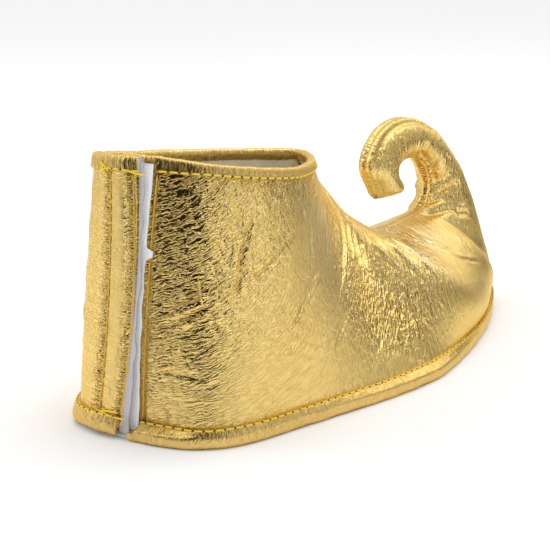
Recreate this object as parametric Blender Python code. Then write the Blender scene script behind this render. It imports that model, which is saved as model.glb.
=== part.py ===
"""Costume overshoe with a curled toe: fabric upper, flat sole, two bindings and a hook-and-loop back closure.

All sizes are millimetres until a mesh is made. The heel lies at y = 0, the toe points along +Y, +X is the
wearer's right, and the floor is z = 0. At the end the part is moved so that its box is centred on the origin.
"""
import bmesh
import bpy
import numpy as np
from mathutils import Vector
from mathutils.bvhtree import BVHTree

MM = 0.001

# Sole outline, to the outside of its binding
SOLE_LENGTH = 280.0
HEEL_HALF_WIDTH = 41.0
BALL_HALF_WIDTH = 60.0
BALL_STATION = 133.0
HEEL_ROUND = 42.0
HEEL_SQUARENESS = 2.9
TOE_TAPER = 1.3
TOE_ROUND = 1.6

# Collar, the top edge of the upper
COLLAR_BACK = 2.5
COLLAR_WIDEST = 56.0
COLLAR_FRONT = 116.0
COLLAR_HALF_WIDTH = 36.0
COLLAR_BACK_ROUND = 1.9
COLLAR_FRONT_ROUND = 1.42
COLLAR_HEIGHT = 106.3
COLLAR_SLOPE = np.tan(np.radians(6.45))
COLLAR_SIDE_DIP = 2.8

# Walls and clearances
WALL = 1.4
CLEAR = 0.3
SOLE_THICKNESS = 2.0
FOOT_LIFT = 0.9
FOOT_Z = SOLE_THICKNESS + FOOT_LIFT
FOOT_INSET = 3.0
HEEL_BULGE = 1.0
SEAM_PINCH = 1.25
ARCH_START = 3.6
ARCH_SPANS = 2.9

# Sections that stand on the sole: where foot line and seam lie, and how far the side bulges past the foot
VAMP_COLUMNS = ("foot_y", "seam_y", "seam_z", "bulge")
VAMP = (
    (139.0, COLLAR_FRONT, 93.5, 0.8),
    (157.5, 129.2, 74.4, 2.3),
    (190.0, 150.8, 58.3, 4.5),
    (225.0, 174.0, 48.5, 7.5),
    (255.0, 203.0, 49.0, 10.5),
    (SOLE_LENGTH, 219.0, 51.0, 21.0),
)

# Sections of the curl, from the toe tip round to its own tip: outer seam, inner seam and half width
CURL_COLUMNS = ("outer_y", "outer_z", "inner_y", "inner_z", "half_width")
CURL = (
    (272.5, 30.0, 226.0, 56.0, 15.0),
    (263.5, 51.0, 227.5, 62.5, 12.0),
    (250.0, 70.0, 223.5, 70.0, 10.0),
    (231.0, 87.0, 216.5, 75.5, 8.5),
    (204.0, 96.5, 204.0, 77.5, 8.0),
    (181.0, 93.0, 196.0, 74.5, 8.0),
    (170.0, 79.0, 195.5, 71.0, 8.0),
    (176.5, 66.5, 201.0, 66.0, 7.5),
    (180.5, 62.0, 202.5, 62.2, 6.5),
)

# Back closure: distances to the right of the middle plane, at the foot and at the collar
FLAP_EDGE = (1.0, 8.7)
TAPE_RIGHT_EDGE = (3.0, 11.0)
UNDERLAP_EDGE = (-12.0, -4.0)
TAPE_WIDTH = 14.0
TAPE_THICKNESS = 1.0
HOOK_SETBACK = 1.0
TAPE_TOP_GAP = (0.8, 1.2)
TAPE_FOOT_GAP = 1.0
FLAP_LIFT = 1.6
LAP_DEPTH = 2 * TAPE_THICKNESS + 5 * CLEAR
UNDERLAP_OFFSET = -3.2
FLAP_OFFSET = UNDERLAP_OFFSET + LAP_DEPTH + WALL

# Where each panel leaves its lapped offset: spans held at the full offset, spans of fading, and that offset
UNDERLAP_FADE = (0.35, 0.42, UNDERLAP_OFFSET)
FLAP_FADE = (0.42, 0.5, FLAP_OFFSET)
LAP_SPANS = 0.42

# Bindings
BINDING_THICKNESS = 1.0
BINDING_GAP = 0.4
BINDING_SETBACK = 1.2

# Sole binding: its top, its thickness from the top down, and its roll past the edge of the sole (out, height)
SOLE_BINDING_TOP = 7.0
WALL_ROLL = (1.0, 1.7, 2.3)
SOLE_ROLL = ((3.0, 2.6), (2.7, 1.2), (2.1, 0.4))
TOE_GAP = 0.4
TOE_GAP_START = 0.88

# Collar binding: its legs, its crown, and the shares of the collar where it widens and where it turns
COLLAR_LEG = 4.5
COLLAR_INNER_LEG = 3.5
COLLAR_SHORT_LEG = 2.0
COLLAR_SHOULDER = 0.7
FRONT_GAP = 0.5
FRONT_GAP_START = 0.9
FRONT_RING = 0.985
TANGENT_STEP = 0.002

# Rays that find the wall: how far off they start, in the open and between the laps, and how far down
RAY_REACH = 24.0
LAP_REACH = 1.4
OUTER_DROP = 0.4
INNER_DROP = 1.4
LEG_RAYS = 7
SEAM_MISS = 0.05

# Mesh density: rows, columns behind the heel, and columns in each run of spans (first, last, columns)
HEEL_SPANS = 4
LINE_POINTS = 800
WALL_ROWS = 13
TAPE_ROWS = 12
TAPE_COLUMNS = 6
SOLE_POINTS = 44
SOLE_TURN_RADIUS = 14.0
BACK_COLUMNS = 8
COLUMN_RUNS = ((1, 4, 14), (4, 7, 9), (7, 9, 9), (9, 10, 5), (10, 18, 24))

# Looks: colour, roughness and metallic value
LOOKS = {
    "gold_foil": ((0.80, 0.52, 0.12, 1.0), 0.32, 1.0),
    "gold_binding": ((0.78, 0.50, 0.11, 1.0), 0.38, 1.0),
    "white_tape": ((0.80, 0.79, 0.77, 1.0), 0.90, 0.0),
    "sole_fabric": ((0.62, 0.60, 0.56, 1.0), 0.90, 0.0),
}


def smooth(t):
    """Soft step from 0 to 1."""
    t = np.clip(t, 0.0, 1.0)
    return t * t * (3.0 - 2.0 * t)


def column(table, columns, name):
    """One named column of a table as an array."""
    return np.array([row[columns.index(name)] for row in table])


def spline(values, u, rest_at_start=False, rest_at_end=False):
    """Smooth curve through values at u = 0, 1, 2 and so on, slowing to a stop at a marked end."""
    values = np.asarray(values, float)
    slope = np.gradient(values)
    if rest_at_start:
        slope[0] = 0.0
    if rest_at_end:
        slope[-1] = 0.0
    k = np.clip(np.floor(u).astype(int), 0, len(values) - 2)
    t = np.clip(u - k, 0.0, 1.0)
    start, end = values[k], values[k + 1]
    rise = start + (end - start) * smooth(t)
    return rise + t * (1 - t) ** 2 * slope[k] - t * t * (1 - t) * slope[k + 1]


def share_along(line):
    """Share of its length at each point of a line."""
    steps = np.linalg.norm(np.diff(line, axis=0), axis=1)
    run = np.concatenate([[0.0], np.cumsum(steps)])
    return run / run[-1]


def pick(line, share):
    """Points of a line at given shares of its length."""
    at = share_along(line)
    return np.stack([np.interp(share, at, line[:, k]) for k in range(line.shape[1])], -1)


def half_width(y):
    """Half width of the sole outline at a station."""
    widen = smooth(y / BALL_STATION)
    side = HEEL_HALF_WIDTH + (BALL_HALF_WIDTH - HEEL_HALF_WIDTH) * widen
    back = np.clip(1 - y / HEEL_ROUND, 0, 1)
    front = np.clip((y - BALL_STATION) / (SOLE_LENGTH - BALL_STATION), 0, 1)
    heel = (1 - back ** HEEL_SQUARENESS) ** (1 / HEEL_SQUARENESS)
    toe = (1 - front ** TOE_TAPER) ** (1 / TOE_ROUND)
    return side * heel * toe


def plan_normals(line):
    """Outward normals of a half outline that runs from the back round to the toe."""
    tangent = np.gradient(line, axis=0)
    tangent /= np.linalg.norm(tangent, axis=1)[:, None]
    tangent[0] = (1.0, 0.0)
    return np.stack([tangent[:, 1], -tangent[:, 0]], -1)


def outline(inset):
    """Right half of the sole outline, moved inwards, from the back round to the toe tip."""
    stations = SOLE_LENGTH * (0.5 - 0.5 * np.cos(np.linspace(0, np.pi, 4 * LINE_POINTS)))
    line = np.stack([half_width(stations), stations], -1)
    line = pick(line, np.linspace(0, 1, LINE_POINTS))
    moved = line - plan_normals(line) * inset
    moved = moved[moved[:, 0] >= 0]
    moved[0, 0] = 0.0
    tip = moved[-1].copy()
    tip[0] = 0.0
    return np.vstack([moved, tip])


def collar(share):
    """Right half of the collar edge at shares of its length, from the back to the front."""
    angle = np.linspace(0, np.pi, LINE_POINTS)
    c, s = np.cos(angle), np.sin(angle)
    power = 2 / np.where(c > 0, COLLAR_BACK_ROUND, COLLAR_FRONT_ROUND)
    reach = np.where(c > 0, COLLAR_WIDEST - COLLAR_BACK, COLLAR_FRONT - COLLAR_WIDEST)
    x = COLLAR_HALF_WIDTH * s ** power
    y = COLLAR_WIDEST - np.sign(c) * reach * np.abs(c) ** power
    z = COLLAR_HEIGHT - COLLAR_SLOPE * (y - COLLAR_BACK) - COLLAR_SIDE_DIP * s ** 2
    return pick(np.stack([x, y, z], -1), share)


FOOT = outline(FOOT_INSET)
FOOT_NORMALS = plan_normals(FOOT)
FOOT_SHARE = share_along(FOOT)
FOOT_RUN = np.linalg.norm(np.diff(FOOT, axis=0), axis=1).sum()
TOE_TIP = FOOT[-1, 1]
VAMP_START = FOOT_SHARE[np.argmax(FOOT[:, 1] > VAMP[0][0])]
SPAN_RUN = VAMP_START * FOOT_RUN / HEEL_SPANS
TOE_SPAN = HEEL_SPANS + len(VAMP) - 1
LAST_SPAN = HEEL_SPANS + len(VAMP) + len(CURL) - 1


def collar_share(u):
    """Share of the collar's length at a signed u, slowing to a stop at the front corner of the collar."""
    part = np.clip(np.abs(u) / HEEL_SPANS, 0, 1)
    return np.sign(u) * (part + part ** 2 - part ** 3)


def collar_u(share):
    """Signed u at a share of the collar's length."""
    u = np.linspace(-HEEL_SPANS, HEEL_SPANS, 1601)
    return float(np.interp(share, collar_share(u), u))


def foot_share(u):
    """Share of the foot line's length where the section at u stands."""
    foot_y = np.minimum(column(VAMP, VAMP_COLUMNS, "foot_y"), TOE_TIP)
    station = spline(foot_y, u - HEEL_SPANS, rest_at_end=True)
    ahead = FOOT[:, 1] >= VAMP[0][0]
    forefoot = np.interp(station, FOOT[ahead, 1], FOOT_SHARE[ahead])
    return np.where(u < HEEL_SPANS, VAMP_START * u / HEEL_SPANS, forefoot)


def low_line(u):
    """Lower end of the section at u: the foot line, then the outer seam of the curl."""
    on_foot = pick(FOOT, foot_share(u))
    climb = np.maximum(u - TOE_SPAN, 0.0)
    outer_y = np.append(TOE_TIP, column(CURL, CURL_COLUMNS, "outer_y"))
    outer_z = np.append(FOOT_Z, column(CURL, CURL_COLUMNS, "outer_z"))
    foot = np.stack([on_foot[..., 0], on_foot[..., 1], np.full(u.shape, FOOT_Z)], -1)
    seam_y = spline(outer_y, climb, rest_at_start=True)
    seam_z = spline(outer_z, climb, rest_at_start=True)
    seam = np.stack([np.zeros(u.shape), seam_y, seam_z], -1)
    return np.where((u < TOE_SPAN)[..., None], foot, seam)


def high_line(u):
    """Upper end of the section at u: the collar edge, then the instep seam and the inner seam of the curl."""
    edge = collar(collar_share(u))
    ahead = np.maximum(u - HEEL_SPANS, 0.0)
    seam_y = np.append(column(VAMP, VAMP_COLUMNS, "seam_y"), column(CURL, CURL_COLUMNS, "inner_y"))
    seam_z = np.append(column(VAMP, VAMP_COLUMNS, "seam_z"), column(CURL, CURL_COLUMNS, "inner_z"))
    seam_z[0] = COLLAR_HEIGHT - COLLAR_SLOPE * (COLLAR_FRONT - COLLAR_BACK)
    y = spline(seam_y, ahead, rest_at_start=True)
    z = spline(seam_z, ahead, rest_at_start=True)
    seam = np.stack([np.zeros(u.shape), y, z], -1)
    return np.where((u < HEEL_SPANS)[..., None], edge, seam)


def bulge(u):
    """How far the side reaches past the foot line, closing to nothing at the tip of the curl."""
    rows = np.append(column(VAMP, VAMP_COLUMNS, "bulge"), column(CURL, CURL_COLUMNS, "half_width"))
    cap = np.clip(u - (LAST_SPAN - 1), 0, 1)
    return spline(rows, np.maximum(u - HEEL_SPANS, 0.0)) * np.sqrt(1 - cap ** 2)


def outward(u):
    """Outward plan direction at u, turning with the heel and then straight to the side."""
    share = np.minimum(foot_share(u), FOOT_SHARE[-1])
    n = np.stack([np.interp(share, FOOT_SHARE, FOOT_NORMALS[:, k]) for k in (0, 1)] + [np.zeros(u.shape)], -1)
    n[..., 0] = np.maximum(n[..., 0], 1e-3)
    n[..., 1] = np.minimum(n[..., 1], 0.0)
    return n / np.linalg.norm(n, axis=-1)[..., None]


def skin(u, v):
    """Outer face of the upper before it is lapped: v runs from foot (0) to top (1), u < 0 is the left."""
    side = np.where(u < 0, -1.0, 1.0)
    u = np.abs(u)
    low, high = low_line(u), high_line(u)
    normal = outward(u)
    wall = low + (high - low) * v[..., None] + normal * (HEEL_BULGE * 4 * v * (1 - v))[..., None]
    half = np.maximum(low[..., 0] + bulge(u), 1e-6)
    low_angle = np.arcsin(np.clip(low[..., 0] / half, 0, 1) ** (1 / SEAM_PINCH))
    high_angle = np.pi - np.arcsin(np.clip(high[..., 0] / half, 0, 1) ** (1 / SEAM_PINCH))
    angle = low_angle + (high_angle - low_angle) * v
    climb = (np.cos(low_angle) - np.cos(angle)) / (np.cos(low_angle) - np.cos(high_angle))
    arch = low + (high - low) * climb[..., None]
    arch[..., 0] = half * np.clip(np.sin(angle), 0, 1) ** SEAM_PINCH
    point = wall + (arch - wall) * smooth((u - ARCH_START) / ARCH_SPANS)[..., None]
    on_seam = (u >= TOE_SPAN) & (v == 0) | (u >= HEEL_SPANS) & (v == 1) | (u >= LAST_SPAN)
    point[..., 0] = np.where(on_seam, 0.0, point[..., 0] * side)
    return point


def plan_direction(u):
    """Outward plan direction at a signed u."""
    n = outward(np.abs(u))
    n[..., 0] *= np.where(u < 0, -1.0, 1.0)
    return n


def edge_u(edge, v):
    """Signed u of a slanting edge of the back closure, right of the middle plane where positive."""
    return (edge[0] + (edge[1] - edge[0]) * v) / SPAN_RUN


def lap_offset(u, side):
    """How far the right underlap (side 1) lies inside the skin, or the left flap (side -1) outside it."""
    hold, fade, full = UNDERLAP_FADE if side > 0 else FLAP_FADE
    return full * (1 - smooth((u - hold) / fade))


def lapped(u, v, side):
    """Outer face of the right (side 1) or left (side -1) panel, the left flap lying over the underlap."""
    point = skin(u, v)
    away = lap_offset(u, side)
    if side < 0:
        point[..., 2] += FLAP_LIFT * (away / FLAP_OFFSET) * (1 - v)
    point = point + plan_direction(u) * away[..., None]
    point[..., 0] *= side
    return point


def panel_columns(side, v):
    """The u of each column of one panel at heights v, from its back edge to the tip of the curl."""
    start = edge_u(UNDERLAP_EDGE, v) if side > 0 else -edge_u(FLAP_EDGE, v)
    back = np.linspace(0, 1, BACK_COLUMNS, endpoint=False)[:, None]
    runs = [np.linspace(first, last, count, endpoint=False) for first, last, count in COLUMN_RUNS]
    ahead = np.concatenate(runs + [[LAST_SPAN]])[:, None]
    return np.vstack([start + (1 - start) * back, ahead + np.zeros(v.shape)])


def panel_grid(side):
    """Grid of one panel's outer face."""
    v = np.linspace(0, 1, WALL_ROWS)
    u = panel_columns(side, v)
    return lapped(u, np.broadcast_to(v, u.shape), side)


def material(name):
    """The material of one of the looks."""
    colour, roughness, metallic = LOOKS[name]
    made = bpy.data.materials.new(name)
    made.use_nodes = True
    shader = made.node_tree.nodes["Principled BSDF"]
    shader.inputs["Base Color"].default_value = colour
    shader.inputs["Roughness"].default_value = roughness
    shader.inputs["Metallic"].default_value = metallic
    made.diffuse_color = colour
    return made


def add_object(name, mesh_maker, look):
    """A named object made by filling a bmesh, with smooth shading and its material."""
    mesh = bpy.data.meshes.new(name)
    work = bmesh.new()
    mesh_maker(work)
    work.to_mesh(mesh)
    work.free()
    mesh.shade_smooth()
    mesh.set_sharp_from_angle(angle=np.radians(40))
    mesh.materials.append(look)
    made = bpy.data.objects.new(name, mesh)
    bpy.context.collection.objects.link(made)
    return made


def add_grid(work, grid, flip):
    """Quads over a grid of points."""
    verts = [[work.verts.new(p * MM) for p in line] for line in grid]
    for left, right in zip(verts, verts[1:]):
        for k in range(len(left) - 1):
            face = [left[k], right[k], right[k + 1], left[k + 1]]
            work.faces.new(face[::-1] if flip else face)


def fill_upper(work):
    """Both panels as one sheet, sewn where they meet in the middle plane."""
    add_grid(work, panel_grid(1), flip=False)
    add_grid(work, panel_grid(-1), flip=True)
    bmesh.ops.remove_doubles(work, verts=work.verts, dist=0.01 * MM)


def make_upper(look):
    """The upper: its outer face thickened inwards to one hollow wall."""
    upper = add_object("upper", fill_upper, look)
    thicken = upper.modifiers.new("wall", "SOLIDIFY")
    thicken.thickness = WALL * MM
    thicken.offset = -1.0
    thicken.use_rim = True
    return upper


def loft(rings):
    """A function that fills a bmesh with a closed solid through rings of points."""
    def fill(work):
        verts = [[work.verts.new(p * MM) for p in ring] for ring in rings]
        count = len(verts[0])
        for first, second in zip(verts, verts[1:]):
            for k in range(count):
                work.faces.new([first[k], first[(k + 1) % count], second[(k + 1) % count], second[k]])
        work.faces.new(verts[0][::-1])
        work.faces.new(verts[-1])
        work.normal_update()
        bmesh.ops.triangulate(work, faces=[f for f in work.faces if len(f.verts) > 4])
        bmesh.ops.recalc_face_normals(work, faces=work.faces)
    return fill


def make_sole(look):
    """The flat sole, cut to the foot line and a little past it."""
    line = outline(FOOT_INSET - BINDING_THICKNESS)
    line = pick(line, turning_shares(line, SOLE_POINTS))
    ring = np.vstack([line, (line * (-1, 1))[-2:0:-1]])
    bottom = np.column_stack([ring, np.zeros(len(ring))])
    top = np.column_stack([ring, np.full(len(ring), SOLE_THICKNESS)])
    return add_object("sole", loft([bottom, top]), look)


def turning_shares(line, count):
    """Shares of a plan line's length, closer together where it turns."""
    steps = np.diff(line[:, :2], axis=0)
    length = np.linalg.norm(steps, axis=1)
    heading = np.unwrap(np.arctan2(steps[:, 1], steps[:, 0]))
    turn = np.abs(np.gradient(heading))
    weight = np.concatenate([[0.0], np.cumsum(length + SOLE_TURN_RADIUS * turn)])
    return np.interp(np.linspace(0, weight[-1], count), weight, share_along(line))


def hit(tree, start, direction):
    """Where a ray from a point meets the upper, kept off the line of the seam."""
    start = start + (SEAM_MISS if abs(start[0]) < SEAM_MISS else 0.0, 0.0, 0.0)
    found = tree.ray_cast(Vector(start * MM), Vector(direction))[0]
    return np.array(found) / MM


def make_sole_binding(tree, look):
    """The strip that covers the edge of upper and sole, open at the back slit."""
    right_end = (TAPE_RIGHT_EDGE[0] + BINDING_SETBACK) / FOOT_RUN
    halves = []
    for side in (1, -1):
        u = panel_columns(side, np.zeros(1))[:, 0]
        halves.append(foot_share(u[u < TOE_SPAN]))
    right, left = halves
    right = np.append(right_end, right[right > right_end + 0.5 * BINDING_SETBACK / FOOT_RUN])
    route = [(1, s) for s in right] + [(0, 1.0)] + [(-1, s) for s in left[::-1]]
    return add_object("sole_binding", loft([sole_binding_ring(tree, side, s) for side, s in route]), look)


def sole_binding_ring(tree, side, share):
    """Section of the sole binding at a share of the foot line, folded over the edge of the sole."""
    base = pick(FOOT, np.array([abs(share)]))[0]
    normal = np.array([np.interp(abs(share), FOOT_SHARE, FOOT_NORMALS[:, k]) for k in (0, 1)])
    mirror = side * (1.0 if share >= 0 else -1.0)
    if side == 0:
        base, normal, mirror = np.array([0.0, TOE_TIP]), np.array([0.0, 1.0]), 1.0
    base, normal = base * (mirror, 1), normal * (mirror, 1) / np.linalg.norm(normal)
    outside = np.array([*normal, 0.0])
    foot = np.array([*base, 0.0])
    lift = 0.0
    if side < 0:
        u = np.array(share / VAMP_START * HEEL_SPANS)
        lift = FLAP_LIFT * lap_offset(u, side) / FLAP_OFFSET

    def wall_at(z):
        found = hit(tree, foot + outside * RAY_REACH + (0, 0, z), -outside)
        return float((found - foot) @ outside)

    rise = np.linspace(FOOT_Z + CLEAR, SOLE_BINDING_TOP, len(WALL_ROLL) + 1) + lift
    walls = np.array([wall_at(z) for z in rise])
    gap = BINDING_GAP + TOE_GAP * smooth((abs(share) - TOE_GAP_START) / (1 - TOE_GAP_START))
    sole_edge = max(walls[0], 0.0)
    walls[1] = max(walls[1], sole_edge)
    low = SOLE_ROLL[-1][1] + lift
    inner_edge = sole_edge + BINDING_THICKNESS + gap
    profile = [(wall + gap + thick, z) for wall, z, thick in zip(walls[:0:-1], rise[:0:-1], WALL_ROLL)]
    profile += [(sole_edge + out, z + lift) for out, z in SOLE_ROLL]
    profile += [(inner_edge, low), (inner_edge, FOOT_Z + lift), (walls[0] + gap, FOOT_Z + lift)]
    profile += [(wall + gap, z) for wall, z in zip(walls[1:], rise[1:])]
    return np.array([foot + outside * d + (0, 0, z) for d, z in profile])


def make_collar_binding(tree, look):
    """The strip folded over the collar edge, cut at the back slit."""
    halves = []
    for side in (1, -1):
        u = panel_columns(side, np.ones(1))[1:, 0]
        share = collar_share(u[u < HEEL_SPANS])
        halves.append(share[share < FRONT_RING])
    right, left = halves
    tape_edge, leg_start, hidden_end, flap_end = [
        float(collar_share(distance / SPAN_RUN))
        for distance in (TAPE_RIGHT_EDGE[1], TAPE_RIGHT_EDGE[1] + CLEAR,
                         UNDERLAP_EDGE[1] + BINDING_SETBACK, BINDING_SETBACK - FLAP_EDGE[1])
    ]
    right = np.sort(np.concatenate([[hidden_end, tape_edge, leg_start], right]))
    left = np.append(flap_end, left)
    route = [(1, s) for s in right] + [(0, 1.0)] + [(-1, s) for s in left[::-1]]
    rings = [collar_binding_ring(tree, side, share, tape_edge) for side, share in route]
    return add_object("collar_binding", loft(rings), look)


def collar_binding_ring(tree, side, share, tape_edge):
    """Section of the collar binding: an outer leg, a crown over the edge and an inner leg."""
    around = collar(np.array([abs(share) - TANGENT_STEP, abs(share) + TANGENT_STEP]).clip(0, 1))
    tangent = (around[1] - around[0])[:2] if side else np.array([-1.0, 0.0])
    normal = np.array([tangent[1], -tangent[0], 0.0]) / np.linalg.norm(tangent)
    u = collar_u(share)
    mirror = (side or 1.0) * (1.0 if share >= 0 else -1.0)
    heel_normal = outward(np.array([abs(u)]))[0]
    normal = heel_normal + (normal - heel_normal) * smooth((abs(u) - LAP_SPANS) / LAP_SPANS)
    normal = normal / np.linalg.norm(normal) * (mirror, 1, 1)
    away = lap_offset(np.array(u), side) if side else 0.0
    edge = collar(np.array([abs(share)]))[0] * (mirror, 1, 1) + heel_normal * (mirror, 1, 1) * away
    in_lap = abs(u) < LAP_SPANS and (side < 0 or share <= tape_edge)
    leg = COLLAR_SHORT_LEG if in_lap and side > 0 else COLLAR_LEG
    reach = LAP_REACH if in_lap else RAY_REACH

    def leg_points(inside, length):
        first = INNER_DROP if inside else OUTER_DROP
        drops = np.linspace(first, first + length + 2 * CLEAR, LEG_RAYS)
        start = edge - normal * (WALL + reach) if inside else edge + normal * reach
        direction = normal if inside else -normal
        line = np.array([hit(tree, start - (0, 0, d), direction) for d in drops])
        at = share_along(line) * np.linalg.norm(np.diff(line, axis=0), axis=1).sum()
        return np.stack([np.interp([0.0, length / 2, length], at, line[:, k]) for k in range(3)], -1)

    outer, inner = leg_points(False, leg), leg_points(True, COLLAR_INNER_LEG)
    thick = BINDING_THICKNESS
    gap = BINDING_GAP + FRONT_GAP * smooth((abs(share) - FRONT_GAP_START) / (1 - FRONT_GAP_START))
    up = np.array([0.0, 0.0, 1.0])
    faces = []
    for line, sense in ((outer, 1.0), (inner, -1.0)):
        along = line[0] - line[2]
        across = along @ normal, along @ up
        square = normal * across[1] - up * across[0]
        faces.append(square / np.linalg.norm(square) * sense)
    out, back = faces
    crown = (outer[0] + inner[0]) / 2
    roof = edge[2] + gap
    crown[2] = roof
    outer_corner, inner_corner = outer[0] + out * gap, inner[0] + back * gap
    outer_corner[2] = inner_corner[2] = roof
    shoulder = COLLAR_SHOULDER * thick
    ring = [outer[2] + out * (gap + thick), outer[1] + out * (gap + thick), outer[0] + out * (gap + thick),
            outer_corner + (out + up) * shoulder, crown + up * thick, inner_corner + (back + up) * shoulder,
            inner[0] + back * (gap + thick), inner[1] + back * (gap + thick), inner[2] + back * (gap + thick),
            inner[2] + back * gap, inner[1] + back * gap, inner[0] + back * gap, inner_corner,
            crown,
            outer_corner, outer[0] + out * gap, outer[1] + out * gap, outer[2] + out * gap]
    return np.array(ring)


def make_tape(name, right_edge, offset, top, foot, look):
    """A strip that follows the back of the upper between two offsets from its skin."""
    rings = []
    for height in np.linspace(foot, top, TAPE_ROWS):
        level = np.full(TAPE_COLUMNS, height)
        right = edge_u(right_edge, height)
        u = np.linspace(right, right - TAPE_WIDTH / SPAN_RUN, TAPE_COLUMNS)
        surface, normal = skin(u, level), plan_direction(u)
        inner, outer = surface + normal * offset, surface + normal * (offset + TAPE_THICKNESS)
        rings.append(np.vstack([inner, outer[::-1]]))
    return add_object(name, loft(rings), look)


def centre_on_origin(objects):
    """Move the part so that its box stands centred on the origin."""
    bpy.context.view_layer.update()
    graph = bpy.context.evaluated_depsgraph_get()
    points = []
    for item in objects:
        mesh = item.evaluated_get(graph).to_mesh()
        points += [v.co.copy() for v in mesh.vertices]
    points = np.array(points)
    low, high = points.min(axis=0), points.max(axis=0)
    middle = (low + high) / 2
    for item in objects:
        item.location = (-middle[0], -middle[1], -low[2])


def main():
    for item in list(bpy.data.objects):
        bpy.data.objects.remove(item, do_unlink=True)
    looks = {name: material(name) for name in LOOKS}
    upper = make_upper(looks["gold_foil"])
    bpy.context.view_layer.update()
    tree = BVHTree.FromObject(upper, bpy.context.evaluated_depsgraph_get())
    loop_offset = UNDERLAP_OFFSET + CLEAR
    hook_offset = FLAP_OFFSET - WALL - CLEAR - TAPE_THICKNESS
    hook_edge = tuple(edge - HOOK_SETBACK for edge in FLAP_EDGE)
    wall_height = COLLAR_HEIGHT - FOOT_Z
    loop_top = 1 - (COLLAR_SHORT_LEG + TAPE_TOP_GAP[0]) / wall_height
    hook_top = 1 - (COLLAR_LEG + TAPE_TOP_GAP[1]) / wall_height
    tape_foot = TAPE_FOOT_GAP / wall_height
    parts = [
        upper,
        make_sole(looks["sole_fabric"]),
        make_sole_binding(tree, looks["gold_binding"]),
        make_collar_binding(tree, looks["gold_binding"]),
        make_tape("loop_tape", TAPE_RIGHT_EDGE, loop_offset, loop_top, tape_foot, looks["white_tape"]),
        make_tape("hook_tape", hook_edge, hook_offset, hook_top, tape_foot, looks["white_tape"]),
    ]
    centre_on_origin(parts)


main()
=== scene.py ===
"""Looks of the costume overshoe: creased gold foil, rolled bindings, felt, tapes, lining and stitching.

Sizes are millimetres in the shoe's own coordinates until a mesh is made: heel at y = 0, toe along +Y, +X to
the wearer's right, floor at z = 0. Each mesh is then moved into the row frame.
"""

import bpy
import numpy as np
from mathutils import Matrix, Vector, noise
from mathutils.bvhtree import BVHTree


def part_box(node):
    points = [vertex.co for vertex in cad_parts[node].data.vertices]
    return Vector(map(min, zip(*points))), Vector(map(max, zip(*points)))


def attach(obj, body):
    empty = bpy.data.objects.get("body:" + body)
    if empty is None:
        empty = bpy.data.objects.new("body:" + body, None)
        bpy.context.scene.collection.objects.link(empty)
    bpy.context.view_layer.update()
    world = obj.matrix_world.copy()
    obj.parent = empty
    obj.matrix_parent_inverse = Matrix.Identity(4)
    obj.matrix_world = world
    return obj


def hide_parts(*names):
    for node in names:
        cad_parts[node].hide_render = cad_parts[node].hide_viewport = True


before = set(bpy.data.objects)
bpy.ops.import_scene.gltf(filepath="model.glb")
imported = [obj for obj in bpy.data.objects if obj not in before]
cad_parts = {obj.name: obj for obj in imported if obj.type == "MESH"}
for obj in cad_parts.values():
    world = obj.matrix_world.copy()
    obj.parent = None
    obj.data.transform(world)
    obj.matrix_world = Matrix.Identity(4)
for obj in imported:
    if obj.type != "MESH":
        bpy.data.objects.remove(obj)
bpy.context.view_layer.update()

MM = 0.001
SOLE_BACK = 2.0
SHIFT = np.array([0.0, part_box("sole")[0].y / MM - SOLE_BACK, 0.0])


def table(columns, *rows):
    """A table by the names of its columns."""
    return dict(zip(columns.split(), np.array(rows).T))


# Sole outline, to the outside of its binding
SOLE_LENGTH = 280.0
HEEL_HALF_WIDTH = 41.0
BALL_HALF_WIDTH = 60.0
BALL_STATION = 133.0
HEEL_ROUND = 42.0
HEEL_SQUARENESS = 2.9
TOE_TAPER = 1.3
TOE_ROUND = 1.6

# Collar, the top edge of the upper
COLLAR_BACK = 2.5
COLLAR_WIDEST = 56.0
COLLAR_FRONT = 116.0
COLLAR_HALF_WIDTH = 36.0
COLLAR_BACK_ROUND = 1.9
COLLAR_FRONT_ROUND = 1.42
COLLAR_HEIGHT = 105.1
COLLAR_SLOPE = np.tan(np.radians(6.45))
COLLAR_SIDE_DIP = 2.8

# Walls and clearances
WALL = 1.4
CLEAR = 0.3
SOLE_THICKNESS = 2.0
FOOT_GAP = 0.9
FOOT_Z = SOLE_THICKNESS + FOOT_GAP
FOOT_INSET = 3.0
HEEL_BULGE = 1.0
SEAM_PINCH = 1.25
ARCH_START = 3.6
ARCH_SPANS = 2.9

# Sections that stand on the sole: where foot line and seam lie, and how far the side bulges past the foot
VAMP = table(
    "foot_y seam_y seam_z bulge",
    (139.0, COLLAR_FRONT, 93.5, 0.8),
    (157.5, 129.2, 74.4, 2.3),
    (190.0, 150.8, 58.3, 4.5),
    (225.0, 174.0, 48.5, 7.5),
    (255.0, 203.0, 49.0, 10.5),
    (SOLE_LENGTH, 219.0, 51.0, 21.0),
)

# Sections of the curl, from the toe tip round to its own tip: outer seam, inner seam and half width
CURL = table(
    "outer_y outer_z inner_y inner_z half_width",
    (272.5, 30.0, 226.0, 56.0, 15.0),
    (263.5, 51.0, 227.5, 62.5, 12.0),
    (250.0, 70.0, 223.5, 70.0, 10.0),
    (231.0, 87.0, 216.5, 75.5, 8.5),
    (204.0, 96.5, 204.0, 77.5, 8.0),
    (181.0, 93.0, 196.0, 74.5, 8.0),
    (170.0, 79.0, 195.5, 71.0, 8.0),
    (176.5, 66.5, 201.0, 66.0, 7.5),
    (180.5, 62.0, 202.5, 62.2, 6.5),
)

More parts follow.
